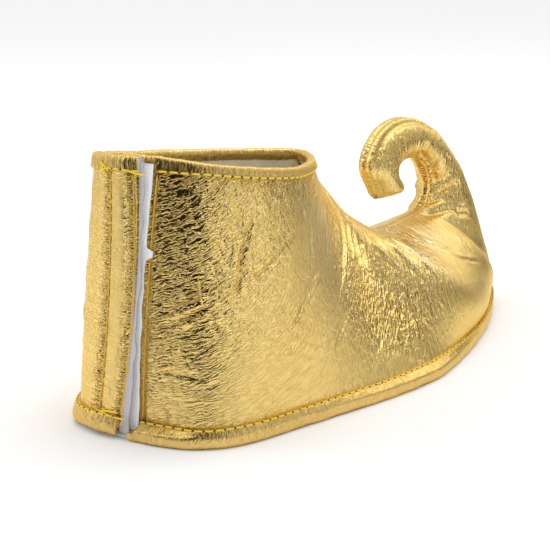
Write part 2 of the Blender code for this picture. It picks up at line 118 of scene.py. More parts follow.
# Back closure: lines right of the middle plane, at the foot, at the collar, and their bow half way up
GOLD_EDGE = (-3.0, 8.6, 3.2)
FELT_EDGE = (0.8, 9.8, 1.8)
TAPE_EDGE = (2.5, 12.0, -0.4)
UNDERLAP_EDGE = (-12.0, -4.0, 0.0)
FLAP_SEAMS = ((-14.4, -5.6, 2.8), (-4.1, 5.3, 4.2))
TAPE_SEAM = (3.3, 12.8, -0.3)
TAPE_WIDTH = 14.0
TAPE_THICKNESS = 1.0
HOOK_INSET = 1.6
FELT_THICKNESS = 1.1
FELT_TUCK = 1.0
FELT_SINK = 0.45
FLAP_LIFT = 1.6
UNDERLAP_OFFSET = -3.2
FLAP_OFFSET = 1.7
UNDERLAP_FADE = (0.35, 0.42, UNDERLAP_OFFSET)
FLAP_FADE = (0.42, 0.5, FLAP_OFFSET)
LAP_SPANS = 0.42
SCRAP_REACH = 2.6
SCRAP_HEIGHT = 0.665
SCRAP_HALF = 0.019

# Strips of the closure: name, edges with a shift, outer face, thickness, heights, look, node and unevenness
STRIPS = (
    ("loop_tape_strip", (TAPE_EDGE, 0.0), (TAPE_EDGE, -TAPE_WIDTH), UNDERLAP_OFFSET + CLEAR + TAPE_THICKNESS,
     TAPE_THICKNESS, (0.004, 0.986), "tape", "loop_tape", 0.5),
    ("hook_tape_strip", (FELT_EDGE, -HOOK_INSET), (FELT_EDGE, -HOOK_INSET - TAPE_WIDTH),
     FLAP_OFFSET - WALL - CLEAR, TAPE_THICKNESS, (0.0095, 0.925), "tape", "hook_tape", 0.3),
    ("flap_felt_edge", (FELT_EDGE, 0.0), (GOLD_EDGE, -FELT_TUCK), FLAP_OFFSET - FELT_SINK,
     FELT_THICKNESS, (-0.018, 0.998), "felt", "upper", 1.4),
)

# Loose thread ends on the flap: distance right of the middle plane and height, at both ends, and their sag
THREAD_ENDS = (
    (-10.5, 0.978, -5.0, 0.95, -0.006),
    (-9.6, 0.988, -7.0, 0.941, 0.004),
    (-11.0, 0.961, -6.2, 0.964, 0.006),
    (4.8, 0.964, 11.6, 0.953, 0.004),
    (-14.0, 0.056, 1.0, 0.04, 0.008),
    (-12.0, 0.044, -3.0, 0.056, -0.008),
    (-14.2, 0.05, -13.4, -0.01, 0.0),
)

# Bindings
BINDING_THICKNESS = 1.0
BINDING_GAP = 0.4
SOLE_BINDING_TOP = 7.0
SOLE_TAIL = 0.8
SOLE_TAIL_DROP = 3.6
WALL_ROLL = (1.1, 1.8, 2.3)
SOLE_ROLL = ((2.9, 2.6), (2.6, 1.2), (2.0, 0.4))
COLLAR_FLAP_LEG = 3.9
COLLAR_LEG = 2.7
COLLAR_INNER_LEG = 3.0
COLLAR_SHORT_LEG = 0.7
COLLAR_SLIT_LEG = 1.3
FLAP_LEG_SPANS = 1.6
SLIT_LEG_SPANS = 0.8
SLIT_LEG_FADE = 0.5
COLLAR_ROLL = 1.0
OUTER_ROLL = np.array([1.0, 1.0, 0.9])
INNER_ROLL = np.array([1.0, 1.0, 0.8])
CROWN_HALF = 0.9
CROWN_CLEAR = 0.2
COLLAR_STITCH = 0.25
COLLAR_STEP = 0.002
UNDERLAP_BINDING = 1.2
FLAP_BINDING = 0.2
FRONT_RING = 0.985
RAY_REACH = 24.0
LAP_REACH = 1.4
SEAM_MISS = 0.05

# Relief of a binding: puckers at its stitches, then creases and waves by height, length, width and seed
BINDING_SLANT = 0.5
BINDING_STITCHES = 0.0315
BINDING_CREASES = (0.081, 1.7, 6.0, 9.1)
BINDING_WAVES = (0.35, 7.0, 9.0, 3.3)
BINDING_GRAIN = 20.0
BINDING_FOIL = (("crinkle", 0.55), ("crackle", 0.4))

# Mesh density
HEEL_SPANS = 4
LINE_POINTS = 800
PANEL_ROWS = 108
BACK_COLUMNS = 48
COLUMN_RUNS = ((1, 4, 150), (4, 9, 140), (9, 18, 109))
BINDING_STEP = 0.7
COLLAR_SECTIONS = 300
RING_POINTS = 3
SOLE_POINTS = 260

# Edge of the sole: height and inset
SOLE_EDGE = ((0.0, 1.2), (0.35, 0.3), (1.0, 0.0), (1.65, 0.3), (SOLE_THICKNESS, 1.2))

# Creases of the right panel, on its face: both ends, sideways bow, width, and height (troughs are below 0)
CREASES = (
    ((35, 34, 83), (34, 24, 57), 1.2, 1.0, -1.0),
    ((35, 29, 65), (33, 23, 55), 0.0, 0.9, -0.8),
    ((38, 54, 73), (36, 31, 59), -0.8, 1.0, -1.0),
    ((38, 72, 53), (41, 50, 39), 0.8, 1.0, -1.2),
    ((31, 76, 89), (38, 67, 57), 0.5, 1.0, -0.7),
    ((34, 68, 91), (38, 61, 67), -0.6, 1.0, -0.7),
    ((29, 25, 97), (25, 17, 91), 0.0, 0.9, -0.5),
    ((6, 5, 43), (32, 20, 59), 1.0, 1.1, 0.7),
    ((16, 8, 42), (31, 18, 54), 0.6, 1.0, 0.6),
    ((24, 10, 37), (27, 11, 31), 0.0, 0.9, -0.5),
    ((6, 6, 26), (29, 12, 26), -1.0, 1.0, -0.5),
    ((20, 121, 64), (39, 88, 40), 1.5, 0.9, 1.0),
    ((21, 124, 63), (32, 111, 49), 0.4, 0.85, 0.8),
    ((23, 125, 60), (37, 113, 40), 0.5, 0.85, 0.9),
    ((25, 128, 58), (39, 115, 34), 0.5, 0.85, 0.9),
    ((30, 128, 49), (36, 127, 38), 0.2, 0.85, 0.8),
    ((27, 132, 54), (36, 140, 42), 0.3, 0.9, 1.1),
    ((26, 143, 53), (41, 151, 38), 0.5, 0.9, 1.1),
    ((21, 154, 52), (43, 161, 35), 0.6, 0.9, 1.1),
    ((32, 162, 45), (32, 178, 38), 0.4, 0.9, -1.0),
    ((18, 194, 43), (27, 207, 36), 0.8, 0.9, -0.9),
    ((28, 201, 36), (29, 226, 28), 1.2, 0.9, -0.5),
    ((41, 91, 35), (44, 76, 25), 0.6, 0.8, -0.9),
    ((28, 86, 85), (36, 76, 62), 0.3, 0.8, -0.35),
    ((25, 97, 77), (35, 83, 57), 0.4, 0.8, -0.35),
    ((43, 143, 31), (46, 139, 23), 0.2, 0.8, 0.6),
    ((46, 140, 24), (49, 145, 17), 0.2, 0.8, 0.5),
    ((47, 141, 22), (47, 122, 20), 0.6, 0.9, 0.6),
    ((45, 117, 23), (50, 92, 10), 0.6, 1.0, 0.6),
    ((44, 154, 32), (48, 157, 23), 0.2, 0.8, 0.5),
    ((6, 217, 49), (14, 245, 47), -1.0, 1.7, -1.5),
    ((9, 224, 48), (13, 246, 51), 0.6, 1.3, 0.8),
    ((4, 229, 59), (10, 237, 66), 0.0, 1.4, 1.1),
    ((2, 224, 53), (7, 230, 56), 0.0, 1.1, -0.9),
    ((3, 226, 67), (7, 225, 75), 0.0, 1.0, -0.9),
    ((9, 228, 79), (10, 236, 71), 0.3, 1.0, -0.7),
    ((7, 207, 92), (3, 218, 76), 0.6, 1.2, -1.2),
    ((6, 187, 90), (8, 193, 83), 0.0, 0.9, -0.5),
    ((11, 235, 51), (14, 250, 46), 0.0, 1.6, 0.7),
)
LEFT_SHIFT = np.array([0.0, 6.0, -3.0])

# Lean of the folds: distance round the shoe, and degrees from level
FOLD_LEAN = ((0, 12), (30, 20), (55, 32), (78, 60), (90, 68), (120, 52), (135, 62), (150, 80), (320, 88))
FOLD_SAMPLES = 641

# Wrinkles of the foil: length along the fold, width across it, height, and where each layer is drawn from
WRINKLES = (
    (46, 17, 0.22, 3.1),
    (24, 8, 0.11, 11.7),
    (13, 4.6, 0.09, 27.3),
    (9, 3, 0.10, 40.9),
)
WRINKLE_LEVEL = 0.5

# Where the foil is creased most: distance round the shoe and height, reach in both, and how much is added
CRUMPLE_BASE = 0.42
CRUMPLED = (
    (34, 66, 26, 30, 0.7),
    (12, 40, 14, 40, 0.3),
    (64, 92, 40, 16, 0.35),
    (124, 48, 22, 24, 0.45),
    (146, 26, 30, 15, 0.3),
    (178, 50, 26, 12, 0.3),
    (66, 36, 12, 10, 0.25),
    (205, 86, 40, 16, 0.3),
    (245, 62, 20, 18, 0.4),
)

# Where it is crackled in all directions, in the same columns
CRACKLE_BASE = 0.12
CRACKLED = (
    (34, 62, 26, 34, 0.3),
    (136, 27, 34, 14, 1.2),
    (122, 44, 18, 12, 0.5),
    (190, 46, 26, 12, 0.8),
    (205, 86, 40, 16, 0.4),
    (245, 62, 20, 18, 0.6),
)

# Highlights painted into the foil's colour, paler there, in the same columns
PAINTED_HIGHLIGHTS = (
    (196, 47, 28, 9, 0.75),
    (100, 72, 18, 26, 0.4),
)
PAINTED_HIGHLIGHTS_COLOUR = (0.98, 0.90, 0.62)

# Rumpled places of the curl and the vamp: station and height, reach in both, and how much is added
RUMPLED = (
    (230, 68, 26, 20, 2.4),
    (176, 50, 24, 12, 1.8),
)

# Bump of the foil, layers of noise: amount, size along and across the folds, detail, kind, sharpness, weight
FBM = "FBM"
RIDGED = "RIDGED_MULTIFRACTAL"
FOIL_LAYERS = (
    ("crinkle", (4.8, 0.85), 1.0, RIDGED, 2.2, 0.24),
    ("crackle", (4.4, 1.7), 1.0, RIDGED, 1.8, 0.45),
    ("crinkle", (1.0, 0.6), 1.0, FBM, 1.0, 0.1),
)
NOISE_DEPTH = 40.0
FOIL_WARP = (2.0, 2.0, 0.0)
FOIL_WARP_SCALE = 0.3
FOIL_GRAIN = 0.5
FOIL_GRAIN_WEIGHT = 0.18

# Thin lines in the foil: size along and across the folds, and weight
FOIL_LINES = (((24.0, 5.0), 0.5), ((7.0, 16.0), 0.35))

# Sheen of the foil: rougher where it is smooth, and patches of colour and roughness
SMOOTH_BELOW = 0.9
SMOOTH_ROUGHER = 0.4
PATCH_SIZE = (14.0, 9.0)
PATCH_TINT = (0.97, 0.92, 0.8)
PATCH_ROUGHER = 0.1
FOIL_GLINT = (1.0, 0.86, 0.58)

# Sewing: distance between stitches, their length and thickness
STITCH_PITCH = 4.0
STITCH_LENGTH = 3.3
THREAD = 0.36
THREAD_SIDES = 6
THREAD_TIP = 0.55
HOLE_LENGTH = 0.7
STITCH_SINK = 0.25
FLAP_THREAD = -0.55
TAPE_THREAD = -0.35
FACE_LINE = (0.05, 0.945, 200)
THREAD_END_LIFT = 1.2
PATH_POINTS = 7

# Stitches: name, look, distance of the first from the start of its line, length and lift
STITCHES = (
    ("stitching", "thread", STITCH_PITCH / 2, STITCH_LENGTH, 0.35),
    ("face_stitching", "amber_thread", STITCH_PITCH / 2, STITCH_PITCH, 0.3),
    # The dark hole marks are painted shade in the needle holes
    ("stitch_hole_shade", "hole", STITCH_PITCH, HOLE_LENGTH, 0.2),
)

# Relief beside a sewn line: height, distance from the line and width
SEAM_RISE = (0.5, 2.6, 1.5)
SEAM_DIP = (0.8, 0.0, 1.1)
SEAM_VALLEY = (0.7, 5.0, 1.6)
FLAP_DIP = (0.8, 0.0, 0.9)
FLAP_PAD = (0.45, -4.5, 3.0)
FLAP_PLEATS = (0.5, -2.0, 1.7)
FLAP_PUCKER = (3.0, -1.8, 1.2)
TAPE_SEAM_DIP = (0.6, 0.0, 0.9)

# Where relief starts or fades: spans from the toe and from the tip, and distance from an edge
VALLEY_SPANS = ((3.5, 1.5), (1.6, 0.8))
TIP_FADE = 0.3
STITCH_FADE = 3.0

# Camera, floor and soft square lights: name, place, what it points at, size and power
EYE = np.array([356.99, -432.13, 196.82])
TARGET = np.array([-15.76, 122.57, 36.37])
LENS = 104.73
SENSOR = 36.0
FLOOR_REACH = 6.0
LIGHTS = (
    ("top_light", (0.1, 0.1, 1.2), (0.0, 0.0, 0.0), 0.7, 3.0),
    ("front_light", (0.3, 1.1, 0.8), (0.0, 0.0, 0.05), 0.5, 1.6),
    ("left_light", (-0.9, -0.6, 0.7), (0.0, 0.0, 0.05), 0.5, 1.6),
)

# Dark cards seen only in the foil: darkest side, narrowness, and rows of reach, height, shade, shade behind
CARD_POINTS = 97
CARD_REACH = np.array([0.34, 0.42])
CARD_NEAR = 0.3
CARD_GAIN = 1.6
CARDS = (
    ((0.3, -0.95), 4.0, ((0.55, 0.002, 0.0, 0.0), (0.8, 0.002, 0.3, 0.0), (1.0, 0.004, 0.95, 0.2),
                         (1.0, 0.1, 1.0, 0.25), (1.0, 0.28, 1.0, 0.2), (1.0, 0.42, 0.0, 0.0))),
    ((0.41, 0.91), 14.0, ((0.6, 0.002, 0.0, 0.0), (0.85, 0.002, 0.2, 0.0), (1.0, 0.004, 0.9, 0.0),
                          (1.0, 0.045, 0.97, 0.0), (1.0, 0.075, 0.0, 0.0))),
    ((0.85, 0.5), 8.0, ((1.0, 0.07, 0.0, 0.0), (1.0, 0.1, 0.6, 0.0), (1.0, 0.15, 0.6, 0.0),
                        (1.0, 0.19, 0.0, 0.0))),
)


def smooth(t):
    """Soft step from 0 to 1."""
    t = np.clip(t, 0.0, 1.0)
    return t * t * (3.0 - 2.0 * t)


def bell(d, width):
    """Soft bump of height 1 round 0."""
    return np.exp(-(d / width) ** 2)


def arc(t):
    """Bow that is 0 at both ends and 1 half way."""
    return 4 * t * (1 - t)


def welt(distance, size):
    """A soft rise beside a line: its height, its distance from the line and its width."""
    height, place, width = size
    return height * bell(distance - place, width)


def spline(values, u, rest_at_start=False, rest_at_end=False):
    """Smooth curve through values at u = 0, 1, 2 and so on, slowing to a stop at a marked end."""
    values = np.asarray(values, float)
    slope = np.gradient(values)
    if rest_at_start:
        slope[0] = 0.0
    if rest_at_end:
        slope[-1] = 0.0
    k = np.clip(np.floor(u).astype(int), 0, len(values) - 2)
    t = np.clip(u - k, 0.0, 1.0)
    start, end = values[k], values[k + 1]
    rise = start + (end - start) * smooth(t)
    return rise + t * (1 - t) ** 2 * slope[k] - t * t * (1 - t) * slope[k + 1]


def lengths(points, axis=0):
    """Length walked along a line, or along one axis of a grid, at each of its points."""
    steps = np.linalg.norm(np.diff(points, axis=axis), axis=-1)
    return np.insert(np.cumsum(steps, axis=axis), 0, 0.0, axis=axis)


def share_along(line):
    """Share of its length at each point of a line."""
    run = lengths(line)
    return run / run[-1]


def rows_at(x, places, rows):
    """Rows of a table read off between their places."""
    return np.stack([np.interp(x, places, rows[:, k]) for k in range(rows.shape[1])], -1)


def pick(line, share):
    """Points of a line at given shares of its length."""
    return rows_at(share, share_along(line), line)


def unit(vectors):
    """Vectors brought to length 1."""
    return vectors / np.maximum(np.linalg.norm(vectors, axis=-1, keepdims=True), 1e-9)


def half_width(y):
    """Half width of the sole outline at a station."""
    widen = smooth(y / BALL_STATION)
    side = HEEL_HALF_WIDTH + (BALL_HALF_WIDTH - HEEL_HALF_WIDTH) * widen
    back = np.clip(1 - y / HEEL_ROUND, 0, 1)
    front = np.clip((y - BALL_STATION) / (SOLE_LENGTH - BALL_STATION), 0, 1)
    heel = (1 - back ** HEEL_SQUARENESS) ** (1 / HEEL_SQUARENESS)
    toe = (1 - front ** TOE_TAPER) ** (1 / TOE_ROUND)
    return side * heel * toe


def plan_normals(line):
    """Outward normals of a half outline that runs from the back round to the toe."""
    tangent = unit(np.gradient(line, axis=0))
    tangent[0] = (1.0, 0.0)
    return np.stack([tangent[:, 1], -tangent[:, 0]], -1)


def outline(inset):
    """Right half of the sole outline, moved inwards, from the back round to the toe tip."""
    stations = SOLE_LENGTH * (0.5 - 0.5 * np.cos(np.linspace(0, np.pi, 4 * LINE_POINTS)))
    line = np.stack([half_width(stations), stations], -1)
    line = pick(line, np.linspace(0, 1, LINE_POINTS))
    moved = line - plan_normals(line) * inset
    moved = moved[moved[:, 0] >= 0]
    moved[0, 0] = 0.0
    tip = moved[-1].copy()
    tip[0] = 0.0
    return np.vstack([moved, tip])


def collar(share):
    """Right half of the collar edge at shares of its length, from the back to the front."""
    angle = np.linspace(0, np.pi, LINE_POINTS)
    c, s = np.cos(angle), np.sin(angle)
    power = 2 / np.where(c > 0, COLLAR_BACK_ROUND, COLLAR_FRONT_ROUND)
    reach = np.where(c > 0, COLLAR_WIDEST - COLLAR_BACK, COLLAR_FRONT - COLLAR_WIDEST)
    x = COLLAR_HALF_WIDTH * s ** power
    y = COLLAR_WIDEST - np.sign(c) * reach * np.abs(c) ** power
    z = COLLAR_HEIGHT - COLLAR_SLOPE * (y - COLLAR_BACK) - COLLAR_SIDE_DIP * s ** 2
    return pick(np.stack([x, y, z], -1), share)


FOOT = outline(FOOT_INSET)
FOOT_NORMALS = plan_normals(FOOT)
FOOT_SHARE = share_along(FOOT)
FOOT_RUN = lengths(FOOT)[-1]
TOE_TIP = FOOT[-1, 1]
VAMP_START = FOOT_SHARE[np.argmax(FOOT[:, 1] > VAMP["foot_y"][0])]
SPAN_RUN = VAMP_START * FOOT_RUN / HEEL_SPANS
TOE_SPAN = HEEL_SPANS + len(VAMP["bulge"]) - 1
LAST_SPAN = TOE_SPAN + len(CURL["half_width"])


def collar_share(u):
    """Share of the collar's length at a signed u, slowing to a stop at the front corner of the collar."""
    part = np.clip(np.abs(u) / HEEL_SPANS, 0, 1)
    return np.sign(u) * (part + part ** 2 - part ** 3)


def collar_u(share):
    """Signed u at a share of the collar's length."""
    u = np.linspace(-HEEL_SPANS, HEEL_SPANS, 2 * LINE_POINTS + 1)
    return float(np.interp(share, collar_share(u), u))


def foot_share(u):
    """Share of the foot line's length where the section at u stands."""
    station = spline(np.minimum(VAMP["foot_y"], TOE_TIP), u - HEEL_SPANS, rest_at_end=True)
    ahead = FOOT_SHARE >= VAMP_START
    forefoot = np.interp(station, FOOT[ahead, 1], FOOT_SHARE[ahead])
    return np.where(u < HEEL_SPANS, VAMP_START * u / HEEL_SPANS, forefoot)


def seam_line(stations, heights, ahead):
    """Points of the seam in the middle plane, through rows of stations and heights."""
    y, z = [spline(rows, ahead, rest_at_start=True) for rows in (stations, heights)]
    return np.stack([np.zeros(ahead.shape), y, z], -1)


def low_line(u):
    """Lower end of the section at u: the foot line, then the outer seam of the curl."""
    foot = np.concatenate([pick(FOOT, foot_share(u)), np.full((*u.shape, 1), FOOT_Z)], -1)
    outer_y, outer_z = np.append(TOE_TIP, CURL["outer_y"]), np.append(FOOT_Z, CURL["outer_z"])
    seam = seam_line(outer_y, outer_z, np.maximum(u - TOE_SPAN, 0.0))
    return np.where((u < TOE_SPAN)[..., None], foot, seam)


def high_line(u):
    """Upper end of the section at u: the collar edge, then the instep seam and the curl's inner seam."""
    seam_y, seam_z = np.append(VAMP["seam_y"], CURL["inner_y"]), np.append(VAMP["seam_z"], CURL["inner_z"])
    seam_z[0] = COLLAR_HEIGHT - COLLAR_SLOPE * (COLLAR_FRONT - COLLAR_BACK)
    seam = seam_line(seam_y, seam_z, np.maximum(u - HEEL_SPANS, 0.0))
    return np.where((u < HEEL_SPANS)[..., None], collar(collar_share(u)), seam)


def bulge(u):
    """How far the side reaches past the foot line, closing to nothing at the tip of the curl."""
    cap = np.clip(u - (LAST_SPAN - 1), 0, 1)
    reach = spline(np.append(VAMP["bulge"], CURL["half_width"]), np.maximum(u - HEEL_SPANS, 0.0))
    return reach * np.sqrt(1 - cap ** 2)


def outward(u):
    """Outward plan direction at u, turning with the heel and then straight to the side."""
    plan = rows_at(foot_share(u), FOOT_SHARE, FOOT_NORMALS)
    n = np.concatenate([plan, np.zeros((*u.shape, 1))], -1)
    n[..., 0] = np.maximum(n[..., 0], 1e-3)
    n[..., 1] = np.minimum(n[..., 1], 0.0)
    return unit(n)


def skin(u, v):
    """Outer face of the upper before it is lapped: v runs from foot (0) to top (1), u < 0 is the left."""
    side = np.where(u < 0, -1.0, 1.0)
    u = np.abs(u)
    low, high = low_line(u), high_line(u)
    wall = low + (high - low) * v[..., None] + outward(u) * (HEEL_BULGE * arc(v))[..., None]
    half = np.maximum(low[..., 0] + bulge(u), 1e-6)
    low_share, high_share = [np.clip(end[..., 0] / half, 0, 1) ** (1 / SEAM_PINCH) for end in (low, high)]
    low_angle, high_angle = np.arcsin(low_share), np.pi - np.arcsin(high_share)
    angle = low_angle + (high_angle - low_angle) * v
    climb = (np.cos(low_angle) - np.cos(angle)) / (np.cos(low_angle) - np.cos(high_angle))
    arch = low + (high - low) * climb[..., None]
    arch[..., 0] = half * np.clip(np.sin(angle), 0, 1) ** SEAM_PINCH
    point = wall + (arch - wall) * smooth((u - ARCH_START) / ARCH_SPANS)[..., None]
    point[..., 0] = np.where(on_seam(u, v), 0.0, point[..., 0] * side)
    return point


def on_seam(u, v):
    """Which points lie on the seam in the middle plane."""
    return (u >= TOE_SPAN) & (v == 0) | (u >= HEEL_SPANS) & (v == 1) | (u >= LAST_SPAN)


def plan_direction(u):
    """Outward plan direction at a signed u."""
    n = outward(np.abs(u))
    n[..., 0] *= np.where(u < 0, -1.0, 1.0)
    return n


def across(edge, v):
    """Distance of a line of the back closure right of the middle plane, at heights v."""
    foot, top, bow = edge
    return foot + (top - foot) * v + bow * arc(v)


def lap_offset(u, side):
    """How far the right underlap (side 1) lies inside the skin, or the left flap (side -1) outside it."""
    hold, fade, full = UNDERLAP_FADE if side > 0 else FLAP_FADE
    return full * (1 - smooth((u - hold) / fade))


def lapped(u, v, side):
    """Outer face of the right (side 1) or left (side -1) panel, the left flap lying over the underlap."""
    point = skin(u, v)
    away = lap_offset(u, side)
    if side < 0:
        point[..., 2] += FLAP_LIFT * (away / FLAP_OFFSET) * (1 - v)
    point = point + plan_direction(u) * away[..., None]
    point[..., 0] *= side
    return point


def draw_noise(x, y, z):
    """Smooth noise from -1 to 1 at each place."""
    places = np.stack(np.broadcast_arrays(x, y, z), -1)
    drawn = [noise.noise(place) for place in places.reshape(-1, 3).tolist()]
    return np.array(drawn).reshape(places.shape[:-1])


def ridges(level, x, y, z):
    """Noise folded into sharp ridges of a given height."""
    return level - 2.0 * np.abs(draw_noise(x, y, z))


def girth(points):
    """Distance round the heel from the back centre, then on along the shoe."""
    heel_y, radius = 45.0, 38.0
    x, y = np.abs(points[..., 0]), points[..., 1]
    round_heel = radius * np.arctan2(x, np.maximum(heel_y - y, 1e-6))
    return np.where(y < heel_y, round_heel, radius * np.pi / 2 + y - heel_y)


def grain(points):
    """Coordinates along and across the folds of the foil, flat at the heel and standing up to the front."""
    mid_height = 45.0
    distances, leans = zip(*FOLD_LEAN)
    stations = np.linspace(0, distances[-1], FOLD_SAMPLES)
    lean = np.radians(np.interp(stations, distances, leans))
    step = stations[1]
    run_along = np.cumsum(np.cos(lean)) * step
    run_across = np.cumsum(np.sin(lean)) * step
    g = girth(points)
    angle = np.interp(g, stations, lean)
    z = points[..., 2] - mid_height
    along = z * np.sin(angle) + np.interp(g, stations, run_along)
    athwart = z * np.cos(angle) - np.interp(g, stations, run_across)
    return np.stack([along, athwart, np.abs(points[..., 0])], -1)


def gathered(x, z, base, places):
    """An amount over places and heights, with more of it round some of them."""
    amount = np.full(x.shape, base)
    for place, height, reach, reach_up, more in places:
        amount += more * bell(x - place, reach) * bell(z - height, reach_up)
    return amount


def crease_height(points, normals, side):
    """Height of the listed creases over the face of a panel."""
    total = np.zeros(points.shape[:-1])
    mirror = np.array([side, 1.0, 1.0])
    shift = LEFT_SHIFT if side < 0 else np.zeros(3)
    wander_size, wander_run = 0.7, 6.0
    overrun, fade = 0.1, 0.4
    depth, depth_fade = 14.0, 4.0
    even, uneven = 0.9, 0.2
    lip, lip_place, lip_width = 0.35, 2.1, 1.2
    for start, end, bow, width, height in CREASES:
        a, b = [(np.array(point) + shift) * mirror for point in (start, end)]
        length = np.linalg.norm(b - a)
        direction = (b - a) / length
        sideways = unit(np.cross(direction, normals))
        offset = points - a
        t = offset @ direction / length
        wander = draw_noise(t * length / wander_run, start[1], start[2])
        d = (offset * sideways).sum(-1) - bow * arc(t) - wander_size * wander
        ends = smooth((t + overrun) / fade) * smooth((1 + overrun - t) / fade)
        near = smooth((depth - np.abs((offset * normals).sum(-1))) / depth_fade)
        lips = [bell(d + k * lip_place * width, lip_width * width) for k in (-1, 1)]
        shape = bell(d, width) - lip * sum(lips)
        total += height * shape * ends * near * (even + uneven * wander)
    return total


def wrinkle_height(points, side):
    """Height of the folds and wrinkles drawn by noise along the grain of the foil."""
    along, athwart, aside = np.moveaxis(grain(points), -1, 0)
    total = np.zeros(points.shape[:-1])
    for length, width, height, seed in WRINKLES:
        place = aside / length + seed * (2 + side)
        total += height * ridges(WRINKLE_LEVEL, along / length, athwart / width, place)
    z = points[..., 2]
    amount = gathered(girth(points), z, CRUMPLE_BASE, CRUMPLED)
    return total * gathered(points[..., 1], z, amount, RUMPLED)


def panel_columns(side, v):
    """The u of each column of one panel at heights v, from its back edge to the tip of the curl."""
    start = across(UNDERLAP_EDGE, v) / SPAN_RUN if side > 0 else -across(GOLD_EDGE, v) / SPAN_RUN
    back = np.linspace(0, 1, BACK_COLUMNS, endpoint=False)[:, None]
    runs = [np.linspace(first, last, count, endpoint=False) for first, last, count in COLUMN_RUNS]
    ahead = np.concatenate(runs + [[LAST_SPAN]])[:, None]
    return np.vstack([start + (1 - start) * back, ahead + np.zeros(v.shape)])


def seam_height(u, from_low, from_high, run):
    """The sewn seam: a sharp dip with a soft rise beside it and small puckers across it."""
    size, reach, gap, fade = 0.18, 3.5, 1.2, 0.2
    total = np.zeros(u.shape)
    wave = size * np.sin(2 * np.pi * run / STITCH_PITCH)
    for distance, first in ((from_high, HEEL_SPANS), (from_low, TOE_SPAN)):
        puckers = wave * np.exp(-distance / reach) * (1 - bell(distance, gap))
        sewn = smooth((u - first) / fade)
        total += sewn * (welt(distance, SEAM_RISE) - welt(distance, SEAM_DIP) + puckers)
    (start, start_fade), (end, end_fade) = VALLEY_SPANS
    valley = smooth((u - TOE_SPAN - start) / start_fade) * smooth((LAST_SPAN - end - u) / end_fade)
    return total - valley * welt(from_low, SEAM_VALLEY)


def edge_puckers(points, u, from_low, from_high, run):
    """Small puckers that the stitches of the two bindings draw into the panel."""
    size, reach, toe_fade, wander, wander_run = 0.14, 4.0, 0.5, 2.0, 9.0
    phase = 2 * np.pi * run / STITCH_PITCH + wander * draw_noise(*np.moveaxis(points / wander_run, -1, 0))
    above_sole = np.maximum(points[..., 2] - SOLE_BINDING_TOP, 0)
    below_collar = np.maximum(from_high - COLLAR_LEG, 0)
    low = np.exp(-above_sole / reach) * smooth((TOE_SPAN - u) / toe_fade)
    high = np.exp(-below_collar / reach) * smooth((HEEL_SPANS - u) / TIP_FADE)
    return size * np.sin(phase) * (low + high) * smooth(from_low / STITCH_FADE)


def flap_height(points, u, v):
    """The two sewn lines down the flap, the padded channel between them and the puckers beside them."""
    level, slant, width, length, seed = 0.4, 0.9, 2.0, 7.0, 5.5
    q, z = -u * SPAN_RUN, points[..., 2]
    pleats = ridges(level, (q + z * slant) / width, (q - z) / length, seed)
    total = np.zeros(u.shape)
    for line in FLAP_SEAMS:
        d = q - across(line, v)
        total += welt(d, FLAP_PAD) - welt(d, FLAP_DIP) + pleats * welt(d, FLAP_PLEATS)
    return total


def panel(side):
    """Plain points, points with relief, grain and crinkle of one panel."""
    edge_fade, drawn_reach, drawn_spans = 3.5, 2.5, 0.6
    calm_end, calm_fade, calm_wrinkles, calm_crinkle = 4.0, 8.0, 0.35, 0.5
    v = np.linspace(0, 1, PANEL_ROWS)
    u = panel_columns(side, v)
    v = np.broadcast_to(v, u.shape)
    base = lapped(u, v, side)
    normals = unit(np.cross(np.gradient(base, axis=0), np.gradient(base, axis=1))) * side
    normals[..., 0] = np.where(on_seam(u, v), 0.0, normals[..., 0])
    normals = unit(normals)
    run, from_low = lengths(base), lengths(base, 1)
    from_high = from_low[:, -1:] - from_low
    tip = smooth((LAST_SPAN - u) / TIP_FADE)
    edges = smooth(from_low / edge_fade) * smooth(from_high / edge_fade) * tip
    lively = smooth((u * SPAN_RUN - calm_end) / calm_fade) if side < 0 else np.ones(u.shape)
    wrinkles = wrinkle_height(base, side) * (calm_wrinkles + (1 - calm_wrinkles) * lively)
    tape_seam = -welt(u * SPAN_RUN - across(TAPE_SEAM, v), TAPE_SEAM_DIP)
    closure = flap_height(base, u, v) if side < 0 else tape_seam
    relief = (crease_height(base, normals, side) + wrinkles + closure) * edges
    relief += seam_height(u, from_low, from_high, run) * tip
    relief += edge_puckers(base, u, from_low, from_high, run)
    crinkle = gathered(girth(base), base[..., 2], CRUMPLE_BASE, CRUMPLED)
    crinkle *= calm_crinkle + (1 - calm_crinkle) * lively
    below_collar = np.maximum(from_high - COLLAR_LEG, 0)
    crinkle += np.exp(-below_collar / drawn_reach) * smooth((HEEL_SPANS - drawn_spans - u) / drawn_spans)
    if side < 0:
        for line in FLAP_SEAMS:
            crinkle += welt(-u * SPAN_RUN - across(line, v), FLAP_PUCKER) * smooth(from_high / STITCH_FADE)
    return base, base + normals * relief[..., None], grain(base), crinkle


def grid_faces(columns, rows, around=False, flip=False):
    """Quads over a grid of points, closed round its rows if wanted."""
    index = np.arange(columns * rows).reshape(columns, rows)
    if around:
        index = np.concatenate([index, index[:, :1]], 1)
    a, b, c, d = index[:-1, :-1], index[1:, :-1], index[1:, 1:], index[:-1, 1:]
    quads = np.stack([a, b, c, d], -1).reshape(-1, 4)
    return (quads[:, ::-1] if flip else quads).tolist()


def add_object(name, points, faces, looks):
    """A mesh with its materials, from points in metres in the row frame."""
    mesh = bpy.data.meshes.new(name)
    mesh.from_pydata(points.reshape(-1, 3).tolist(), [], faces)
    for look in looks:
        mesh.materials.append(look)
    made = bpy.data.objects.new(name, mesh)
    bpy.context.scene.collection.objects.link(made)
    return made


